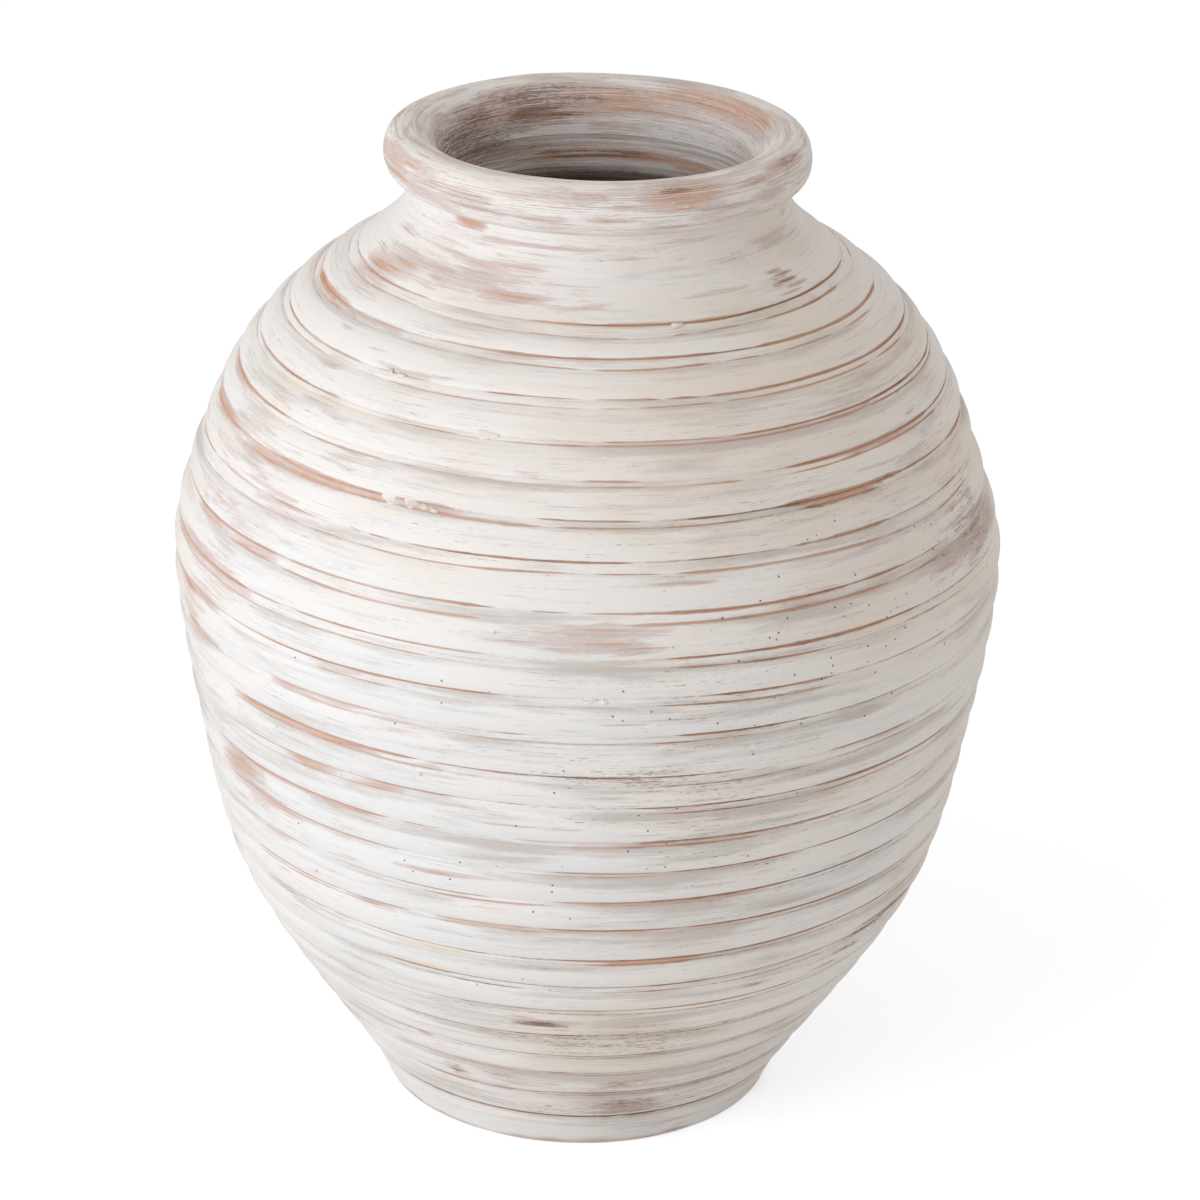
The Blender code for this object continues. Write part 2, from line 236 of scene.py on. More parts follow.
# Worn and tinted places from the foot up: angle, band (21.5 is halfway from groove 21 to 22,
# 25 the neck, 26 the rim's widest line, 27 its crest, 28 inside it, 29 the throat), half width in
# degrees, half height in mm, amount
marks = {}
marks["clay"] = [
    (12, .2, 10, 1.4, .8), (14, .45, 9, 5, .5), (-31, 2.9, 1.6, 1.1, .7), (-31, 3.05, 1.6, 1.3, .7),
    (-7, 4.36, 1.8, .5, 1.1), (-4.5, 4.46, 3.4, .7, 1.2), (-6.5, 4.58, 3, .8, 1.25), (-9, 4.7, 2.4, .6, 1.1),
    (-27, 6.1, 6, .7, .55), (12, 6.95, 6, 1.1, .8), (-22, 9.55, 6, 1, .6), (-18, 9.6, 8, .9, .6),
    (-57, 10, 8, 9, .42), (-58, 10.6, 6, 6, .78), (-36, 10.95, 6, 1.4, .8), (-8, 11.45, 7.5, .6, .7),
    (-40, 11.9, 3, 2, .7), (-27, 11.95, 2.5, 1.5, .5), (-40, 12.93, 9, 2.2, .85), (-66, 13.75, 5, 4, .5),
    (-68, 14.4, 5, 7, .2), (5, 14.4, 4.5, .5, .9), (-71, 14.85, 5, 2.4, .8), (-62, 15.6, 13, 9, .32),
    (-66, 16.1, 12, 4, .62), (3, 16.5, 6, 7, .18), (-60, 16.9, 12, 8, .28), (13.5, 17.55, 4.5, 1.2, 1.1),
    (-42, 18.95, 11, 1.6, .6), (38, 19, 8, 1.5, 1), (-77, 19.1, 8, 2.6, .9), (48, 19.95, 13, 1.1, .7),
    (-78, 20, 8, 2.2, .9), (-56, 22.55, 2.5, .9, .7), (-75, 22.95, 13, 2.4, 1), (-66, 23.5, 14, 10, .36),
    (52, 24.08, 4, .7, .9), (-64, 24.12, 10, 5, .8), (56, 24.14, 4.2, .8, 1.2), (-8, 24.18, 9, .8, .7),
    (49.5, 24.2, 2, .7, 1.1), (53, 24.22, 4.6, 1.1, 1.25), (-21, 24.24, 9.5, 3, .8),
    (-44, 24.25, 4, 1.8, .6), (-57, 24.27, 5, 2, .7), (54, 24.3, 3.6, 1, 1.25), (-34, 24.35, 26, 9, .3),
    (51.5, 24.37, 3.2, .9, 1.2), (-34, 24.5, 9, 5, .5), (-22, 24.6, 8, .8, .6), (5, 24.75, 8, .8, .4),
    (-20, 24.85, 20, 1.2, .45), (-40, 24.97, 5, 2.4, 1.3), (-46, 25.15, 8, 2.2, .9), (22, 25.7, 8, 1.2, .5),
    (4, 26, 8, 1.2, .6), (35, 26.1, 9, 1.6, .4), (-62, 26.3, 20, 9, .34), (24, 26.5, 11, 8, .9),
    (45, 26.55, 9, 2.2, .5), (64, 26.7, 10, 3.5, .62), (128, 27.8, 34, 8, .84), (178, 27.9, 22, 6, .5),
    (-155, 27.95, 14, 4, .35), (158, 28.12, 30, 7, .82), (178, 28.35, 24, 4, .7), (-160, 28.5, 22, 4, .75),
    (-150, 28.6, 6, 2.4, .8), (168, 29.42, 42, 3, 1.15), (138, 29.5, 14, 3.4, 1.3)]
marks["veil"] = [
    (5, 1.3, 50, 24, .7), (-6.5, 4.5, 5.5, 3, .5), (20, 7, 60, 60, .34), (-30, 10.4, 8, 2.5, .5),
    (-52, 11, 34, 80, .5), (40, 11.5, 40, 30, .3), (12, 11.65, 16, 3.4, .5), (-20, 13.4, 7, 5, .5),
    (-25, 13.6, 9, 4, .6), (-68, 14.3, 6, 9, .8), (-30, 14.9, 6, 3, .6), (-66, 15.1, 7, 4, .6),
    (-9, 16.4, 12, 6, .6), (2.5, 16.45, 8.5, 9, 1.3), (-57, 16.5, 10, 6, .6), (-38, 16.6, 6, 3, .55),
    (68, 16.7, 15, 14, 1.1), (-66, 17.4, 14, 9, .8), (66, 17.5, 9, 9, 1), (-62, 17.6, 8, 4, .6),
    (77, 18.95, 8, 4, .9), (58, 19, 26, 54, .55), (-55, 19.5, 36, 52, .62), (14, 19.6, 18, 4, .45),
    (8, 20.6, 30, 16, .5), (-52, 21.6, 12, 3, .6), (15, 21.6, 20, 3.5, .5), (-30, 21.8, 22, 14, .42),
    (-25, 22.4, 7, 2, .6), (5, 22.5, 12, 2, .3), (-20, 24.25, 28, 8, .72), (-68, 24.3, 20, 9, .75),
    (-25, 24.45, 36, 9, .5), (40, 24.55, 14, 3, .5), (-70, 24.6, 12, 12, .6), (-18, 24.6, 16, 10, .4),
    (-30, 24.7, 50, 22, .42), (180, 24.7, 80, 16, .7), (58, 24.75, 14, 8, .6), (5, 24.9, 50, 4, .45),
    (72, 24.9, 10, 5, .6), (0, 26, 500, 20, .6), (-66, 26.4, 28, 16, .95), (60, 26.8, 22, 9, .85),
    (14, 26.9, 16, 5, .8), (0, 27.2, 500, 20, .62), (-110, 28.5, 100, 24, .95), (115, 28.5, 120, 24, .42)]
# dark marks are brown stains; those from band 27.9 up, inside the mouth on its shaded left and round the
# throat, are partly painted shadow
marks["dark"] = [
    (12, .35, 50, 10, .5), (13, .55, 12, 8, .62), (40, 1, 30, 14, .35), (3, 1.35, 6, 3, .5),
    (-27, 1.5, 2.4, 5, .8), (10, 1.55, 7, 6, .5), (-16, 1.7, 4, 2, .8), (-18, 1.72, 4, 1.8, .6),
    (6, 3.7, 22, 15, .55), (-2, 4, 4, 1.2, .7), (-2, 4.3, 3, .8, .8), (-6, 4.54, 5, 2.6, .95),
    (45, 5.3, 4, 1.5, 1), (29.5, 5.5, 1.8, 1.2, 1.2), (47, 5.6, 9, 1.6, .5), (49, 5.6, 5, 1.5, 1),
    (62, 5.7, 13, 7, .36), (54, 5.95, 6, 2, 1), (61, 6.25, 9, 3.6, 1.1), (53, 6.3, 5, 1.4, .9),
    (10, 11.7, 14, 2.6, .35), (8, 12.1, 22, 5, .25), (19, 12.8, 14, 92, .3), (6, 13, 15, 12, .46),
    (10, 13.3, 22, 5, .2), (68, 16.7, 13, 11, .36), (71, 16.9, 9, 22, .5), (68, 17.4, 9, 8, .34),
    (14, 18.4, 44, 12, .22), (27, 18.9, 12, 11, .26), (62, 21, 14, 10, .25), (53, 24.25, 7, 5, .4),
    (40, 24.6, 14, 8, .3), (22, 24.75, 25, 6, .25), (20, 26.7, 8, 3, .45), (64, 26.7, 9, 3, .4),
    (-170, 27.9, 20, 4, .5), (178, 27.9, 22, 6, .35), (-155, 27.95, 26, 7, .8), (-128, 28.3, 18, 9, .7),
    (-158, 28.35, 20, 6, .78), (-108, 28.7, 36, 15, .62), (-120, 29, 44, 14, .72), (-175, 29.42, 28, 3, .5),
    (180, 29.9, 180, 7, .5)]
# warm marks tint the wash cream; the broad one at 55 degrees, right of the front, partly paints in the warm
# cast of the shaded side
marks["warm"] = [
    (2, 3.6, 22, 22, 1), (-27, 6.16, 10, 2.6, 1), (-24, 6.85, 12, 2.4, .8), (-20, 17.6, 14, 9, .5),
    (5, 18.5, 12, 9, .4), (55, 19.4, 42, 104, .4), (5, 21.5, 34, 40, .4), (58, 24.5, 22, 18, .45),
    (30, 25.6, 40, 12, .15)]
marks["cool"] = [
    (-25, 4, 24, 40, .4), (40, 9, 18, 30, .4), (-32, 10.5, 36, 130, .6), (50, 13.2, 26, 20, .35),
    (10, 14, 26, 24, .6), (-62, 22.5, 20, 30, .3)]
marks["pits"] = [
    (180, 11, 80, 120, .4), (5, 12, 60, 90, .25), (40, 16.6, 26, 30, 1)]
marks["comb"] = [
    (180, 12, 110, 400, .2), (-60, 15, 30, 240, .2), (2, 16.45, 14, 9, .4), (-20, 24.8, 60, 12, .5),
    (0, 26.4, 500, 26, 1), (180, 28.5, 500, 30, 1), (-140, 28.8, 70, 26, 1.2)]


def drawn(source, *ranges):
    # one even draw from each range
    return tuple(source.uniform(*ends) for ends in ranges)


# The side that the photograph doesn't show: ranges of what a mark has
streak = ((92, 268), (.3, 24.7), (4, 14))
patch = ((95, 265), (2, 24), (15, 30), (15, 40), (.4, .8))
unseen = {"clay": (*streak, (1, 5), (.5, .95)), "veil": (*streak, (3, 10), (.5, .95)),
          "dark": (*streak, (3, 10), (.3, .7)), "warm": patch, "cool": patch}
for count, kinds in ((46, ("clay", "clay", "clay", "veil", "veil", "dark")), (10, ("warm", "cool"))):
    for _ in range(count):
        kind = kinds[draw.integers(len(kinds))]
        marks[kind].append(drawn(draw, *unseen[kind]))

# Rings past the neck's seam, in mm along the surface: the seam, then bands 26 to 30 and beyond
pastNeck = np.array([0, 17, 37, 55, 71, 96, 700]) * mm
throatPath = neckPath + pastNeck[4]
bandPath = np.concatenate((groovePath, neckPath + pastNeck))
noLine = (9, -.4, 0, 0)  # far from any line: distance and half width in mm, crease, painted shade
markEdge = 2.4  # how square a mark is: the power in its formula


def pathOfBand(band):
    # path at a band number, straight between one ring and the next
    return np.interp(band, np.arange(len(bandPath)), bandPath)


def turnedAway(angle):
    # smallest turn from this many degrees to each angle of the ring, in degrees
    return (np.degrees(angles) - angle + 180) % 360 - 180


def degreesInside(start, end):
    # how far each angle lies inside a stretch: half its length less the turn from its middle
    return (end - start) / 2 - np.abs(turnedAway((start + end) / 2))


def markField(kind, path):
    # strongest of one kind: amount * exp(-(turn / half width)^edge - (rise / half height)^edge), and
    # .88 of the amount on a filled shelf between a groove's two lines, fading over 4 degrees
    field = np.zeros(path.shape)
    for angle, band, wide, high, amount in marks[kind]:
        rise = np.abs(path - pathOfBand(band)) / (high * mm)
        if rise.min() < 3:
            turn = np.abs(turnedAway(angle)) / wide
            field = np.maximum(field, amount * np.exp(-turn ** markEdge - rise ** markEdge))
    for groove in grooves:
        below = groove["path"] - path
        onShelf = (below > .1 * mm) & (below < groove["shelf"] - .1 * mm)
        if onShelf.any():
            for start, end, amount in groove["fills"].get(kind, ()):
                fade = unit(degreesInside(start, end) / 4 + .5)
                field = np.maximum(field, onShelf * .88 * amount * fade)
    return field


def strokeWidth(groove, line):
    # half width of the bare line round the jar: the widest of the strokes, tapered over 5 degrees
    seed, longest = {"upper": (groove * 2, 20), "lower": (groove * 2 + 1, 45)}[line]
    own = seeded(100 + seed)
    here = list(strokes[line].get(groove, ()))
    turn = 84
    while turn < 272:  # strokes for the side that the photograph doesn't show
        turn += own.uniform(2, longest)
        length = own.uniform(8, 50)
        here.append((turn, min(turn + length, 276), own.uniform(.26, .62)))
        turn += length
    width = np.full(len(angles), noLine[1])
    for start, end, half in here:
        taper = unit((degreesInside(start, end) + 2) / 5)
        width = np.maximum(width, (half - noLine[1]) * taper + noLine[1])
    return width + waves((9, 14, 23, 31, 47), (.05, .05, .05, .05, .04), 300 + seed)


grooves = []
# share of the painted crease shade that a groove gets: more of it lies to the right of the front, away from
# the key lamp
toRight = unit((turnedAway(20) + 55) / 70) * np.clip((130 - turnedAway(20)) / 40, .3, 1)
for k in range(len(groovePath)):
    low = min(max((10 - k) / 6, 0), 1)  # the lower grooves are cut deeper and get more painted crease shade
    covered = {kind: list(fills[kind].get(k, ())) for kind in fills}
    own = seeded(950 + k)
    for start in own.uniform(86, 255, 3):  # fills for the side that the photograph doesn't show
        kind = ("clay", "veil", "veil")[own.integers(3)]
        covered[kind].append((start, start + own.uniform(8, 40), own.uniform(.4, .9)))
    meander = waves((1, 2, 3, 5, 8, 13), (.4, .3, .25, .16, .1, .06), 500 + k) * mm
    shelfWaver = waves((2, 3, 5, 9), (.08, .07, .06, .05), 600 + k)
    reliefWaver = waves((1, 3, 4, 7), (.12, .1, .08, .06), 700 + k)
    cutWaver = np.clip(.8 + waves((2, 5, 7, 11), (.2, .2, .15, .15), 800 + k), .2, 1.3)
    creaseShade = .16 + .5 * toRight + .62 * low + waves((2, 3, 7, 12), (.12, .1, .1, .08), 900 + k)
    grooves.append({
        "path": groovePath[k] + meander * (k > 0),
        "shelf": shelves[k] * (1 + shelfWaver) * mm,
        "relief": jar["relief"] * (1 + reliefWaver) * mm,
        "cut": (jar["cut"] + jar["lowCut"] * low + jar["topCut"] * (k > 22)) * cutWaver * mm,
        "lines": (strokeWidth(k, "upper"), strokeWidth(k, "lower")),
        "crease": np.clip(creaseShade, 0, 1.2), "fills": covered})


def cutDepth(groove, away):
    # cut * exp(-(distance / cut width)^2), the distance from the line in mm
    return groove["cut"] * np.exp(-(away / jar["cutWidth"]) ** 2)


def endDepth(groove, away, reach):
    # relief * (1 - distance / reach)^fullness, where a band runs out into the foot or the neck
    return groove["relief"] * (1 - unit(away / reach)) ** jar["fullness"]


def rowBeside(groove, away, turned, reach, paintedShade):
    # row beside a groove's upper line, this many mm above it (turned 1) or below it (-1)
    depth = endDepth(groove, away, reach) + cutDepth(groove, away)
    return wallRow(groove["path"] + turned * away * mm, depth, away, groove["lines"][0], groove["crease"],
                   paintedShade, 0)


def bandRows(k):
    # rows from groove k-1 up to just under groove k: path, depth under the crest line,
    # distance from the nearest line in mm, that line's half width, crease, painted shade
    low, high = grooves[k - 1], grooves[k]
    bottom, top, under = low["path"], high["path"], high["path"] - high["shelf"]
    near = np.array(jar["nearLine"]) * mm
    offsets = [bottom + d for d in near]
    offsets += [bottom + near[-1] + f * (under - bottom - 2 * near[-1])
                for f in np.linspace(0, 1, jar["crestRows"])[1:-1]]
    offsets += [under - d for d in near[::-1]]
    offsets += [under + d for d in near[1:4]] + [(under + top) / 2] + [top - d for d in near[3:0:-1]]
    path = np.array(offsets)
    across = unit((path - bottom) / (under - bottom)) * 2 - 1
    relief = np.where(across < 0, low["relief"], high["relief"])
    onShelf = unit((path - under) / (top - under))
    away = np.abs([path - bottom, path - under, path - top]) / mm
    depth = (relief * (np.abs(across) ** jar["fullness"] - .1 * np.sin(pi * onShelf))
             + cutDepth(low, away[0]) + .8 * cutDepth(high, away[1]) + cutDepth(high, away[2])
             + handMade(path))
    nearest = away.argmin(0)
    distance = np.take_along_axis(away, nearest[None], 0)[0]
    half, crease = [np.choose(nearest, [value + path * 0 for value in values]) for values in (
        (low["lines"][0], high["lines"][1], high["lines"][0]),
        (low["crease"], high["crease"] * .6, high["crease"]))]
    # painted shade: greyer towards the top of a band and on its shelf, whiter towards its bottom, most at the
    # right of the front; partly the relief's shading, partly the wash lying greyer under each line
    paintedShade = unit((across + .1) / 1.1) ** 1.5 - .7 * unit((-across - .2) / .8)
    paintedShade = np.where(path > under, .5, paintedShade) * (.45 + .55 * np.exp(-(turnedAway(18) / 48) ** 2))
    return path, depth, distance, half, crease, paintedShade


def surfacePoint(path, depth):
    # point on the wall: the crest line at this path, moved in by the depth, square to the wall
    z = np.interp(path, pathTable, heightTable) + np.maximum(path - neckPath, 0)
    held = np.minimum(z, neckHeight)
    slope = wallSlope(held)
    length = np.hypot(1, slope)
    return crestRadius(held) - depth / length, z + depth * slope / length


def addObject(name, data):
    thing = bpy.data.objects.new(name, data)
    bpy.context.scene.collection.objects.link(thing)
    return thing


def ringMesh(name, radius, height, closed=True, turn=angles):
    # grid of rows by angles: x = radius sin(angle) + lean(height), y = -radius cos(angle)
    leanHeights, leans = np.array(jar["lean"]).T
    across = np.interp(height, leanHeights, leans) * mm
    points = np.stack([radius * np.sin(turn) + across, -radius * np.cos(turn), height + 0 * turn], -1)
    rows, count = points.shape[:2]
    i, j = np.meshgrid(np.arange(rows if closed else rows - 1), np.arange(count), indexing="ij")
    down, side = (i + 1) % rows, (j + 1) % count
    quads = np.stack([i * count + j, down * count + j, down * count + side, i * count + side], -1)
    flat, corners = points.reshape(-1, 3), quads.reshape(-1)
    starts = np.arange(0, len(corners), 4)
    if not closed:  # the two ends close in a fan on the axis
        flat = np.concatenate((flat, [[across[row, 0], 0, height[row].mean()] for row in (0, -1)]))
        j = np.arange(count)
        side, last, middle = (j + 1) % count, (rows - 1) * count, j * 0 + rows * count
        fans = np.concatenate((np.stack([middle, j, side], -1),
                               np.stack([middle + 1, last + side, last + j], -1)))
        starts = np.concatenate((starts, len(corners) + np.arange(0, fans.size, 3)))
        corners = np.concatenate((corners, fans.reshape(-1)))
    mesh = bpy.data.meshes.new(name)
    mesh.vertices.add(len(flat))
    mesh.vertices.foreach_set("co", flat.reshape(-1).astype(np.float32))
    mesh.loops.add(len(corners))
    mesh.loops.foreach_set("vertex_index", corners.astype(np.int32))
    mesh.polygons.add(len(starts))
    mesh.polygons.foreach_set("loop_start", starts.astype(np.int32))
    mesh.update(calc_edges=True)
    mesh.validate()
    mesh.shade_smooth()
    mesh.set_sharp_from_angle(angle=radians(50))
    return addObject(name, mesh)


def storeAttributes(piece, shape, values):
    # one vector for each point, in the order of the points
    for name, parts in values.items():
        vectors = np.stack([np.broadcast_to(part, shape) for part in parts], -1)
        layer = piece.data.attributes.new(name, "FLOAT_VECTOR", "POINT")
        layer.data.foreach_set("vector", vectors.reshape(-1).astype(np.float32))


def dress(piece, material):
    piece.data.materials.append(material)
    print("piece:", piece.name, len(piece.data.polygons), "faces")


def finishRing(name, rows, node):
    # stacks rows of (radius, height, path, distance, half, crease, painted shade, bare) into a closed ring
    radius, height, path, distance, half, crease, paintedShade, bare = [
        np.array([np.broadcast_to(value, angles.shape) for value in column]) for column in zip(*rows)]
    piece = ringMesh(name, radius, height)
    clay, veil, dark, warm, cool, pits, comb = [markField(kind, path) for kind in marks]
    storeAttributes(piece, path.shape, {
        "place": (radius * np.cos(angles), radius * np.sin(angles), path),
        "line": (distance, half, crease), "coat": (np.maximum(clay, bare), veil, dark),
        "tone": (warm - cool, paintedShade, pits), "comb": (comb, 0, 0)})
    dress(piece, washMaterial)
    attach(piece, "jar")
    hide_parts(node)


def innerRows(low, high, count=20):
    # inside of the wall: one thickness in, with throwing rings, its own path counted from the mouth
    rows = []
    for f in np.linspace(0, 1, count + 2)[1:-1]:
        path = low + (high - low) * f
        radius, height = surfacePoint(path, wall + toolMarks(path, 60, (9, 14), .35))
        own = throatPath + neckHeight - height
        worn = unit((.455 - height) / .05) * .75  # bare clay below the throat
        rows.append((np.maximum(radius, jar["mouthRadius"]), height, own, *noLine, worn))
    return rows


def flatRow(radius, height, path, bare):
    # row with no line near it, at this radius and height
    return radius + 0 * angles, height + 0 * angles, path, *noLine, bare


def wallRow(path, depth, *looks):
    # row on the wall: its points, its path and its looks
    return *surfacePoint(path, depth), path, *looks


def outerRows(first, last):
    # outside of a section: the rows of its bands, from its last groove down
    rows = []
    for k in range(first + 1, last + 1):
        for path, depth, *looks in zip(*bandRows(k)):
            rows.append(wallRow(path, depth, *looks, 0))
    top = grooves[last]
    depth = top["relief"] + top["cut"] + handMade(top["path"])
    rows.append(wallRow(top["path"], depth, 0, top["lines"][0], top["crease"], .8, 0))
    return rows[::-1]


def jointRows(path, gap):
    # upper end of a section: a ledge outside a tongue; a negative gap gives the skirt that fits over it
    middle, past = (wall + gap) / 2, path + lap - gap / 2
    rows = [wallRow(place, depth, *noLine, .5) for place, depth in (
        (past, wall), (past, middle), (path - gap / 2, middle))]
    return rows if gap > 0 else rows[::-1]


def linear(*rgb):
    # a screen colour, 0 to 255, as the linear colour that a shader takes
    c = np.array(rgb) / 255
    return (*np.where(c <= .04045, c / 12.92, ((c + .055) / 1.055) ** 2.4).tolist(), 1)


def sums(operation, turned=False):
    # a method that gives this sum of a tone and another tone or number
    def join(self, other):
        first, second = (other, self) if turned else (self, other)
        return self.net.node("Math", {"operation": operation}, {0: first, 1: second})
    return join


class Tone:  # a socket that takes part in sums
    __add__ = __radd__ = sums("ADD")
    __mul__ = __rmul__ = sums("MULTIPLY")
    __sub__, __rsub__ = sums("SUBTRACT"), sums("SUBTRACT", True)
    least, most = sums("MINIMUM"), sums("MAXIMUM")

    def __init__(self, net, socket):
        self.net, self.socket = net, socket

    def ramp(self, low, high):
        # 0 below low, 1 above high, smooth between them
        return self.net.node("MapRange", {"interpolation_type": "SMOOTHSTEP"},
                             {"Value": self, "From Min": low, "From Max": high})


class Net:  # the nodes of one material, or of the world
    def __init__(self, name, family="materials", shader="Principled BSDF"):
        self.owner = getattr(bpy.data, family).new(name)
        self.owner.use_nodes = True
        self.tree = self.owner.node_tree
        self.shader = self.tree.nodes[shader]

    def node(self, kind, settings, values, out=0):
        node = self.tree.nodes.new("ShaderNode" + kind)
        for key, value in settings.items():
            setattr(node, key, value)
        self.feed(node, values)
        return Tone(self, node.outputs[out])

    def feed(self, node, values):
        for key, value in values.items():
            if isinstance(value, Tone):
                self.tree.links.new(value.socket, node.inputs[key])
            else:
                node.inputs[key].default_value = value

    def finish(self, colour, roughness, relief, strength):
        # colour and roughness of the shader, and its relief in mm
        bump = self.node("Bump", {}, {"Strength": strength, "Distance": mm, "Height": relief})
        self.feed(self.shader, {"Base Color": colour, "Roughness": roughness, "Normal": bump})
        return self.owner

    def mix(self, first, second, factor):
        return self.node("Mix", {"data_type": "RGBA"}, {0: factor, 6: first, 7: second}, 2)

    def attribute(self, name):
        return self.node("Attribute", {"attribute_name": name}, {}, 1)

    def parts(self, name):
        vector = self.attribute(name)
        return [self.node("SeparateXYZ", {}, {0: vector}, axis) for axis in range(3)]

    def where(self):
        return self.node("TexCoord", {}, {}, "Object")

    def noise(self, where, scale, detail, rough=.5):
        return self.node("TexNoise", {}, {"Vector": where, "Scale": scale, "Detail": detail,
                                                    "Roughness": rough})

    def streaks(self, place, around, up, detail, rough, shift):
        # noise in blobs of this many mm around and up the wall, half on average
        stretch = (1000 / around, 1000 / around, 1000 / up)
        moved = self.node("VectorMath", {"operation": "MULTIPLY_ADD"},
                          {0: place, 1: stretch, 2: (shift, shift * 1.7, shift * 2.3)})
        return self.noise(moved, 1, detail, rough)


wash = {name: linear(*rgb) for name, rgb in {
    "white": (240, 238, 236), "cool": (236, 238, 239), "cream": (236, 229, 219), "grey": (196, 186, 178),
    "thin": (221, 209, 206), "mauve": (200, 183, 179), "pink": (214, 192, 181),
    "clayPink": (217, 187, 170), "clay": (202, 157, 130), "clayBrown": (155, 118, 98),
    "stainAndShadow": (130, 105, 94), "pit": (104, 98, 90), "seam": (136, 110, 94), "scratch": (156, 134, 124),
}.items()}


def makeWash():
    net = Net("whitewash")
    place = net.attribute("place")
    off, half, crease = net.parts("line")
    wear, veil, dark = net.parts("coat")
    warm, paintedShade, pitted = net.parts("tone")
    combed = net.parts("comb")[0]
    cloud = net.streaks(place, 90, 30, 2, .5, 12.3)  # soft patches
    broad = net.streaks(place, 80, 6, 3, .5, 7.7)  # strokes of the brush
    brush = net.streaks(place, 40, 1.9, 4, .6, 3.1)
    hair = net.streaks(place, 24, .45, 3, .65, 0)  # single bristles
    fleck = net.streaks(place, 4, .7, 3, .65, 17)
    slow = net.streaks(place, 22, 6, 2, .5, 23)
    scratch = net.streaks(place, 60, .55, 4, .7, 71)
    dry = net.streaks(place, 75, 8, 3, .55, 41).ramp(.56, .74)  # where the brush ran dry
    patchy = net.streaks(place, 38, 7, 4, .62, 53).ramp(.36, .64)
    veil = (veil * (patchy * 1.15 + .24)).least(.92)
    hairs, flecks = hair - .5, fleck - .5
    # lines of bare clay beside the grooves
    reach = half * (crease * .42 + 1.04) + (slow - .5) * .5 + flecks * .3
    line = (reach - off).ramp(-.06, .1) * (crease * .8 + .56).least(1)
    halo = (reach + 1.1 - off).ramp(0, 1.3)
    # how thick the wash lies: thinner in strokes, beside the lines and where it is rubbed
    rub = wear.most(veil * .44).most(dry * .34)
    texture = (brush - .5) * 1.1 + hairs * 1.05 + flecks * .4
    thick = 1 - wear * .78 - veil * .39 - dry * .22 - halo * .12 + texture * (rub * 1.7 + .22)
    # whites: cool and cream patches, then grey in brush streaks, stains and painted shade, greyer under each
    # line
    white = net.mix(wash["white"], wash["cool"], (cloud + broad * .6 - warm * .4).ramp(.8, 1))
    white = net.mix(white, wash["cream"], (cloud * 1.2 - broad * .8 + warm * .5).ramp(.16, .62))
    grey = paintedShade * .55 + (broad - .5) * 1.9 + (brush - .5) * 1.2 + hairs * .6
    grey = grey + (cloud - .5) * 1.2 + flecks * .45 + dark * .7
    white = net.mix(white, wash["grey"], grey.ramp(0, .85) * .75)
    # thinner wash goes to mauve, then pink, and the clay shows where it is nearly gone
    thin = net.mix(wash["thin"], wash["mauve"], (broad * .9 + brush * .7 + dark * .5).ramp(.75, 1.05))
    colour = net.mix(thin, white, thick.ramp(.62, .8))
    colour = net.mix(wash["pink"], colour, thick.ramp(.38, .54))
    dusty = (slow * .8 + brush * .8).ramp(.68, .92) * .6 + (1 - line) * (.35 + hairs * 1.2)
    clay = net.mix(wash["clay"], wash["clayPink"], dusty)
    clay = net.mix(clay, wash["clayBrown"], (fleck * .5 + slow * .8 + dark * .8).ramp(.7, 1))
    bare = (1 - thick.ramp(.22, .38)).most(line) * (hair * .5 + .68).least(.96)
    colour = net.mix(colour, clay, bare)
    # painted crease shade: the seam colour darkens the crease beside each line and the bare line in it, the
    # more where the crease value is high, right of the front and in the lower grooves
    held = (crease * 1.2 + flecks * 1.2 - .45).ramp(0, .7) * .8
    colour = net.mix(colour, wash["seam"], (.55 - off).ramp(0, .35) * held.most(line * crease * .8))
    # long scratches and ridges of wash, as a comb or a stiff brush leaves them
    dashes = scratch + flecks * .3
    scratches = (dashes.ramp(.56, .62) * combed * .55).most(dashes.ramp(.64, .69) * .5)
    colour = net.mix(colour, wash["scratch"], scratches)
    ridges = (.45 - scratch + flecks * .3).ramp(0, .06) * combed * .6
    colour = net.mix(colour, wash["white"], ridges)
    # brown stains, with painted shadow inside the mouth, and pin holes
    ragged = hairs * 1.3 + (scratch - .5) * 1.9 + flecks * 1.8
    stainAndShadow = (dark * .92 - .13 + veil * .08 + ragged).ramp(.42, .66) * .75
    colour = net.mix(colour, wash["stainAndShadow"], stainAndShadow)
    where = net.where()
    cells = {"Vector": where, "Scale": 230, "Randomness": 1}
    spot = net.node("TexVoronoi", {}, cells, "Distance")
    colours = net.node("TexVoronoi", {}, cells, "Color")
    chance = net.node("SeparateColor", {}, {0: colours})
    pit = (.15 - spot).ramp(0, .05) * (pitted * .6 - chance).ramp(0, .04)
    colour = net.mix(colour, wash["pit"], pit * .85)
    relief = (thick.ramp(.2, .8) * .1 + hair * (veil * .22 + .12) + brush * .12
              + net.noise(where, 900, 2) * .05 - pit * .5 + fleck * .06)
    net.feed(net.shader, {"Specular IOR Level": .3})
    return net.finish(colour, .74 + bare * .14 + hairs * .2, relief, .6)


def makeClay():
    net = Net("bareClay")
    where = net.where()
    cloud, grain = net.noise(where, 30, 4), net.noise(where, 700, 3)
    colour = net.mix(linear(176, 112, 82), linear(142, 92, 70), cloud.ramp(.35, .7))
    colour = net.mix(colour, linear(214, 190, 172), (cloud * .5 + grain * .7).ramp(.66, .8) * .5)
    return net.finish(colour, .82 + (grain - .5) * .2, grain * .3 + cloud * .4, .5)


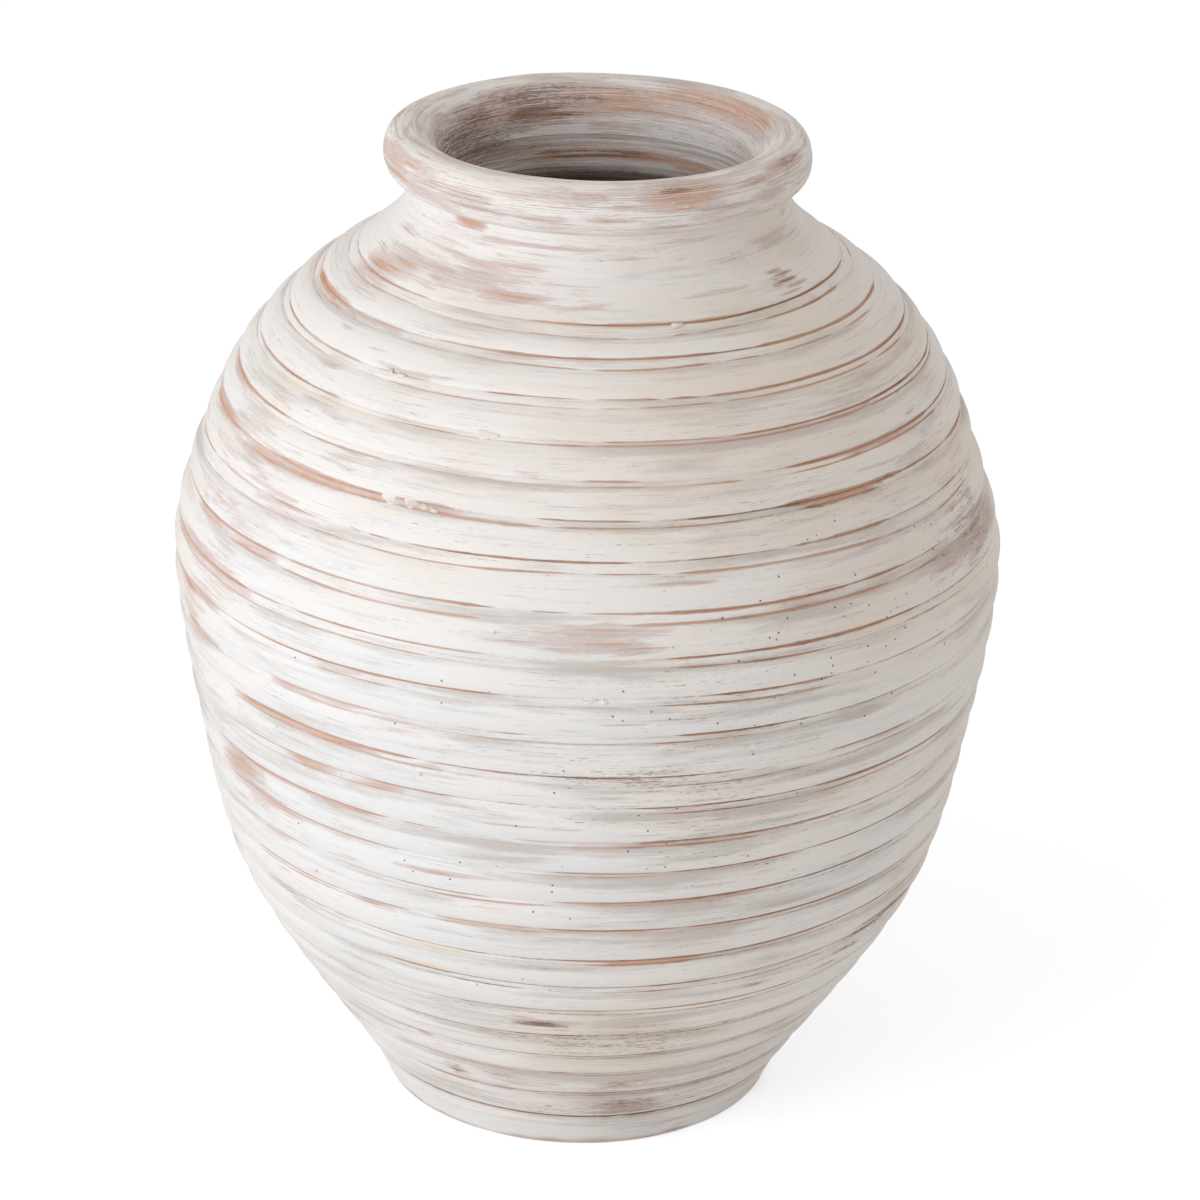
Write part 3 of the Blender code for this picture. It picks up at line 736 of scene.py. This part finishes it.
def makeRubber():
    net = Net("plugRubber")
    dust = net.noise(net.where(), 160, 4)
    colour = net.mix(linear(44, 43, 42), linear(78, 74, 70), dust.ramp(.5, .75))
    return net.finish(colour, .5 + dust * .25, dust * .2, .3)


washMaterial, clayMaterial, rubberMaterial = makeWash(), makeClay(), makeRubber()
print("materials: whitewash, bare clay, rubber")

# Walls: each section is a closed ring, thrown bands outside, throwing rings inside
sections = {"belly_wall": (7, 15), "shoulder_wall": (15, 24)}  # grooves with a seam in them
for name, (low, high) in sections.items():
    lowPath, highPath = grooves[low]["path"], grooves[high]["path"]
    rows = outerRows(low, high) + jointRows(lowPath, -gap)
    rows += innerRows(lowPath + lap, highPath + lap) + jointRows(highPath, gap)
    finishRing(name + "_thrown", rows, name)

foot = {"edge": 1.6,  # rounding of the worn edge, in mm
        "reach": 9.5,  # how far the lowest band runs down, in mm
        "width": 18 * mm, "ledge": 7 * mm, "rows": 16,
        "seam": jar["grooves"][0] * neckHeight,
        "seat": surfacePoint(groovePath[0], 1.3 * mm)[0] - wall}
skirt = {"out": 9 * mm, "in": 4 * mm, "lip": 2 * mm, "rows": 24}  # where the lower wall sits on the foot
seamTop = foot["seam"] + gap / 2
rows = outerRows(0, 7)
rows += [flatRow(foot["seat"] + skirt["out"], seamTop, 0, .6),
         flatRow(foot["seat"] - skirt["in"], seamTop, 0, .6),
         flatRow(foot["seat"] - skirt["in"], foot["seam"] + skirt["lip"], .7, .7)]
rows += innerRows(pathAt(foot["seam"] + lap) + 0 * angles, grooves[7]["path"] + lap, skirt["rows"])
rows += jointRows(grooves[7]["path"], gap)
finishRing("lower_wall_thrown", rows, "lower_wall")

edge = foot["edge"] * (1 + waves((3, 7, 11, 19), (.2, .18, .15, .12), 33)) * mm
footWear = unit(.45 + waves((2, 5, 9, 17, 29), (.2, .2, .15, .15, .1), 34))  # share of bare clay
top = grooves[0]
rows = [rowBeside(top, away, -1, foot["reach"], .8) for away in jar["nearLine"]]
start = top["path"] - jar["nearLine"][-1] * mm
for f in np.linspace(0, 1, foot["rows"])[1:]:
    path = start - f * (start - edge)
    away = (top["path"] - path) / mm
    depth = endDepth(top, away, foot["reach"]) + fineMarks(path)
    rows.append(wallRow(path, depth, away, top["lines"][0], 0, .3 - .6 * f, footWear * f ** 8))
edgeRadius, edgeHeight = rows[-1][:2]
for bend in np.radians(np.linspace(0, 90, 6)[1:]):  # the rounded edge, then the face that it stands on
    rows.append((edgeRadius - edge * (1 - np.cos(bend)), edgeHeight * (1 - np.sin(bend)),
                 edgeHeight * (1 - bend / 2), *noLine, .3 + .6 * footWear))
bottomRadius = rows[-1][0]
for inward in np.linspace(0, foot["width"], 8)[1:]:
    rows.append((bottomRadius - inward, 0 * angles, -inward, *noLine, 1))
inside, seamUnder = foot["seat"] + gap, foot["seam"] - gap / 2
rows += [flatRow(rows[-1][0], foot["ledge"], -.03, 1), flatRow(inside, foot["ledge"], -.04, 1),
         flatRow(inside, seamUnder, -.05, 1), flatRow(foot["seat"] + skirt["out"], seamUnder, -.06, .6)]
finishRing("foot_ring_turned", rows, "foot_ring")

# Neck: a smooth collar from the last groove up to the seam under the rim, with a straight throat
neck = {
    # radius and height in mm inside, from the lower joint up to the rim
    "throat": ((105.8, 434.4), (94, 442.6), (83.6, 448.9), (78.4, 453), (76.3, 457.4), (75.9, 462.5),
               (75.9, 467.5), (75.7, 471), (75.1, 473.4)),
    "reach": 16,  # how far the top band runs up, in mm
    "seamWidth": 7 * mm, "rows": 44, "throatRows": 60,
}
topGroove = len(grooves) - 1
low = grooves[topGroove]
start = jar["nearLine"][-1] * mm
rows = []
for f in np.linspace(0, 1, neck["rows"])[:0:-1]:
    away = start + f * (neckPath - low["path"] - start)
    path = low["path"] + away
    rings = toolMarks(path, 41, (2.3, 3.7, 7), .09) * unit((1 - f) * 8)
    depth = endDepth(low, away / mm, neck["reach"]) + rings
    rows.append(wallRow(path, depth, away / mm, low["lines"][0], 0, -.2, .06))
rows += [rowBeside(low, away, 1, neck["reach"], 0) for away in jar["nearLine"][:0:-1]]
rows += outerRows(topGroove - 1, topGroove)[:1] + jointRows(low["path"], -gap)
throat = np.array(neck["throat"]) * mm
t, share = np.linspace(0, 1, neck["throatRows"]), np.linspace(0, 1, len(throat))
throat = np.stack([np.interp(t, share, column) for column in throat.T], -1)
throat[1:-1] = (throat[:-2] + 2 * throat[1:-1] + throat[2:]) / 4
for radius, height in throat:
    down = neckHeight - height
    rings = toolMarks(throatPath + down + 0 * angles, 61, (1.9, 3.1, 6), .16)
    rows.append(flatRow(radius + rings * unit(down / (3 * mm)), height, throatPath + down, .25))
rimSeat = jar["mouthRadius"] + neck["seamWidth"]
rows.append(flatRow(rimSeat, neckHeight - gap / 2, throatPath, .2))
finishRing("neck_collar_thrown", rows, "neck_collar")

# Rim: a rolled lip, its section carried round the mouth
rim = {
    # radius and height in mm from the neck's seam, out, over the crest and down into the throat
    "section": ((91, 473.6), (92.6, 474.3), (95.4, 475.3), (98.1, 476.8), (101.3, 480.3), (102.9, 485.5),
                (102.6, 490.6), (101.7, 494), (100.2, 496.5), (98.1, 498.4), (95.4, 499.5), (91.5, 499.9),
                (85.9, 498.7), (80.6, 494.7), (77, 488.5), (75.4, 481), (75, 473.6)),
    "rows": 118,
}
points = np.array(rim["section"]) * mm
chords = np.concatenate(([0], np.cumsum(np.hypot(*np.diff(points, axis=0).T))))
t = np.linspace(0, chords[-1], rim["rows"])
section = np.stack([smoothCurve(t, chords, column) for column in points.T], -1)
outward = np.gradient(section, t, axis=0)
outward = np.stack([outward[:, 1], -outward[:, 0]], -1) / np.hypot(*outward.T)[:, None]
swells = (abs(waves((2, 3, 5), (.25, .2, .12), 43)) + .08) * mm
rows = []
for place, normal, along, fade in zip(section, outward, t, np.sin(pi * t / t[-1]) ** .5):
    bump = -(toolMarks(along + 0 * angles, 42, (1.7, 2.6, 5), .07) + swells) * fade
    worn = .08 + .08 * max(0, (along - .045) / .03)  # barer towards the throat
    rows.append(flatRow(place[0] + normal[0] * bump, place[1] + normal[1] * bump, neckPath + along, worn))
rows = rows[::-1]  # from the throat up and over, so that the ring runs down its outer side
rows.append(flatRow(rimSeat, neckHeight + gap / 2, neckPath, .2))
finishRing("rolled_rim_thrown", rows, "rolled_rim")

# Crumbs of thick wash that dried on the wall
crumbs = {
    # angle, band, half width and half height in mm
    "seen": ((-30.3, 19, 4.6, 3.3), (-26.6, 18.97, 3.6, 2.4), (-24.3, 18.94, 2.2, 1.6), (-22.6, 18.9, 2, 1.3),
             (-35.2, 18.05, 2.8, 1.6), (-33, 18, 3.4, 1.7), (-17.2, 21, 4.6, 2.8), (-15.4, 20.98, 1.8, 1.4),
             (.8, 15, 2.8, 1.5), (2.6, 14.95, 1.6, 1.1), (-36, 22, 2.4, 1.4), (-38.5, 22.04, 1.6, 1.1),
             (-12, 16.5, 1.2, .9), (20, 9.4, 1, .8), (-22, 12.6, 1.2, .9), (19, 23.9, 3, 1.5)),
    "unseen": 18, "ranges": ((95, 265), (3, 24.8), (1, 3.4), (.8, 1.9)),
    "rise": .75, "sink": .2,  # rise above and sink of the middle, in mm
    "around": 16, "rings": 7,
}
own = seeded(77)
table = np.array(crumbs["seen"] + tuple(drawn(own, *crumbs["ranges"]) for _ in range(crumbs["unseen"])))
angle, band, wide, tall = table.T[:, :, None, None]
turn = np.radians(angle)
path = pathOfBand(band)
between = np.abs(band % 1 * 2 - 1) ** jar["fullness"]
radius, height = surfacePoint(path, (jar["relief"] * between + jar["inset"] + crumbs["sink"]) * mm)
slope = wallSlope(np.minimum(height, neckHeight - mm))
outR, outZ = 1 / np.hypot(1, slope), -slope / np.hypot(1, slope)
# lumpy domes: half sizes * (sin v cos u, sin v sin u, cos v), sideways sizes wavering with u
u = np.linspace(0, 2 * pi, crumbs["around"], endpoint=False)[None, None, :]
v = np.linspace(0, pi, crumbs["rings"] + 2)[None, :, None]
waver = 1 + .16 * np.sin(3 * u + turn * 40) + .1 * np.sin(5 * u + turn * 90)
side = wide * mm * np.sin(v) * np.cos(u) * waver
up = tall * mm * np.sin(v) * np.sin(u) * waver
out = crumbs["rise"] * mm * np.cos(v)
r = radius - up * outZ + out * outR
points = np.stack([r * np.sin(turn) + side * np.cos(turn), -r * np.cos(turn) + side * np.sin(turn),
                   height + up * outR + out * outZ], -1)
count, rings, around = points.shape[:3]
n, i, j = np.meshgrid(np.arange(count), np.arange(rings - 1), np.arange(around), indexing="ij")
first = n * rings * around + i * around
j, after = first + j, first + (j + 1) % around
quads = np.stack([j, j + around, after + around, after], -1).reshape(-1, 4)
mesh = bpy.data.meshes.new("wash_crumbs")
mesh.from_pydata(points.reshape(-1, 3).tolist(), [], quads.tolist())
piece = addObject("wash_crumbs", mesh)
storeAttributes(piece, r.shape, {
    "place": (-points[..., 1], points[..., 0], path + up), "line": noLine[:3],
    "coat": (.04, .3, .2), "tone": (.2, .15, 0), "comb": (0, 0, 0)})
merge = bmesh.new()
merge.from_mesh(mesh)
bmesh.ops.remove_doubles(merge, verts=merge.verts, dist=1e-6)  # the two ends of each dome
merge.to_mesh(mesh)
merge.free()
mesh.validate()
mesh.shade_smooth()
dress(piece, washMaterial)
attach(piece, "jar")


def turnedPiece(name, outline, node, body, material, closed):
    # an outline of (radius, height), turned about the axis
    turn = np.linspace(-pi, pi, slab["segments"], endpoint=False)
    piece = ringMesh(name, outline[:, :1] + 0 * turn, outline[:, 1:] + 0 * turn, closed, turn)
    dress(piece, material)
    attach(piece, body)
    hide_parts(node)


# Base slab and drain plug, hidden inside and underneath
slab = {"low": foot["ledge"] + gap, "hole": 11 * mm, "round": .8 * mm,
        "ripple": .35 * mm, "ripples": 31, "points": 60, "segments": 192}
wide, hole, low, high, soft = foot["seat"], slab["hole"], slab["low"], seamUnder, slab["round"]
f = np.linspace(.97, .03, slab["points"])
ripple = slab["ripple"] * np.abs(np.sin(f * slab["ripples"]))
topFace = np.stack([wide - f * (wide - hole), high - ripple], -1)
corners = [(wide, high), (wide, low), (hole + soft, low), (hole, low + soft), (hole, high - soft),
           (hole + soft, high)]
turnedPiece("base_slab_thrown", np.concatenate((corners, topFace)), "base_slab", "jar", clayMaterial,
            True)

plug = {"stem": 10.7 * mm, "flange": 18 * mm, "thick": 3 * mm, "grip": 5 * mm, "tall": 9 * mm,
        "waist": .3, "tip": 2 * mm, "axis": 1e-5}
stem, flange, thick, grip, axis = [plug[key] for key in ("stem", "flange", "thick", "grip", "axis")]
seat, tipLow = seamTop, low - plug["tip"]
gripTop = seat + thick + plug["tall"]


def bends(first, last, count):
    # cosine and sine of angles along a rounded edge
    bend = np.radians(np.linspace(first, last, count))
    return np.cos(bend), np.sin(bend)


f = np.linspace(0, 1, 8)[1:]
across, up = bends(90, 0, 9)
cap = grip * across + axis, gripTop - grip / 2 * (1 - up)
waist = (grip * (1 - plug["waist"] * np.sin(f * pi / 2)),
         gripTop - grip / 2 - f * (plug["tall"] - grip / 2))
across, up = bends(0, 90, 5)
flangeTop = flange - thick * (1 - .5 * up), seat + thick * (1 - .5 * (1 - across))
across, up = bends(0, 80, 5)
flangeUnder = flange - thick * .5 * (1 - across), seat + thick * .5 * (1 - up)
stemEnd = np.array([(flange - thick * .5, seat), (stem, seat), (stem, low),
                    (stem * .9, low - plug["tip"] * .8), (stem * .8, tipLow), (axis, tipLow)]).T
outline = np.concatenate((cap, waist, flangeTop, flangeUnder, stemEnd), 1).T
turnedPiece("drain_plug_moulded", outline, "drain_plug", "plug", rubberMaterial, False)

# Stage: pale floor, soft lamps, white behind
stage = {"world": .6, "floor": .92, "lift": (.44, .47, .5), "worldColour": (1, .937, .885, 1), "size": 6}
size = stage["size"]
floorMesh = bpy.data.meshes.new("floor")
floorMesh.from_pydata([(-size, -size, 0), (size, -size, 0), (size, size, 0), (-size, size, 0)], [],
                      [(0, 1, 2, 3)])
floor = addObject("floor", floorMesh)
net = Net("floorPaper")
seen = net.node("LightPath", {}, {}, "Is Camera Ray")
glow = net.node("CombineColor", {}, {n: seen * lift for n, lift in enumerate(stage["lift"])})
net.feed(net.shader, {"Base Color": (*[stage["floor"]] * 3, 1), "Roughness": 1, "Specular IOR Level": 0,
                      "Emission Color": glow, "Emission Strength": 1})
floor.data.materials.append(net.owner)
floor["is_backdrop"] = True

net = Net("studio", "worlds", "Background")
bpy.context.scene.world = net.owner
seen, glossy = [net.node("LightPath", {}, {}, ray) for ray in ("Is Camera Ray", "Is Glossy Ray")]
seen = seen.most(glossy)
net.feed(net.shader, {
    "Strength": net.node("MapRange", {}, {"Value": seen, "To Min": stage["world"], "To Max": 1}),
    "Color": net.mix(stage["worldColour"], (1, 1, 1, 1), seen)})

# Lamps: angle from the front, elevation, distance, power, colour
lamps = {"size": 1.2, "target": (0, 0, .25),
         "key": (-48, 16, 1.9, 14.3, (.965, 1, 1.045)), "fill": (112, 12, 2.2, 1.6, (1, 1, 1)),
         "top": (-62, 62, 2, 2.2, (1, 1, 1))}


def stand(thing, target, angle, elevation, distance):
    # puts a lamp or the camera at this distance from the target, looking at it; gives its direction
    a, e = radians(angle), radians(elevation)
    away = Vector((sin(a) * cos(e), -cos(a) * cos(e), sin(e)))
    thing.location = Vector(target) + away * distance
    return away.to_track_quat("Z", "Y")


for name in ("key", "fill", "top"):
    angle, elevation, distance, power, colour = lamps[name]
    lamp = bpy.data.lights.new(name, "AREA")
    lamp.color, lamp.size, lamp.energy = colour, lamps["size"], power
    holder = addObject(name, lamp)
    holder.rotation_euler = stand(holder, lamps["target"], angle, elevation, distance).to_euler()
print("stage: floor, world, three lamps")

view = {"elevation": 22.7, "distance": 2.15, "lens": 129, "roll": 1.34, "sensor": 36,
        "shift": (.0113, .0031), "target": (0, 0, .252)}
camera = addObject("camera", bpy.data.cameras.new("camera"))
camera.data.lens, camera.data.sensor_width = view["lens"], view["sensor"]
camera.data.shift_x, camera.data.shift_y = view["shift"]
facing = stand(camera, view["target"], 0, view["elevation"], view["distance"])
turnBack = Matrix.Rotation(radians(view["roll"]), 4, "Z")
camera.rotation_euler = (facing.to_matrix().to_4x4() @ turnBack).to_euler()
bpy.context.scene.camera = camera
bpy.context.scene.view_settings.view_transform = "Standard"

low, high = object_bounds()
print("size:", [round(b - a, 4) for a, b in zip(low, high)])
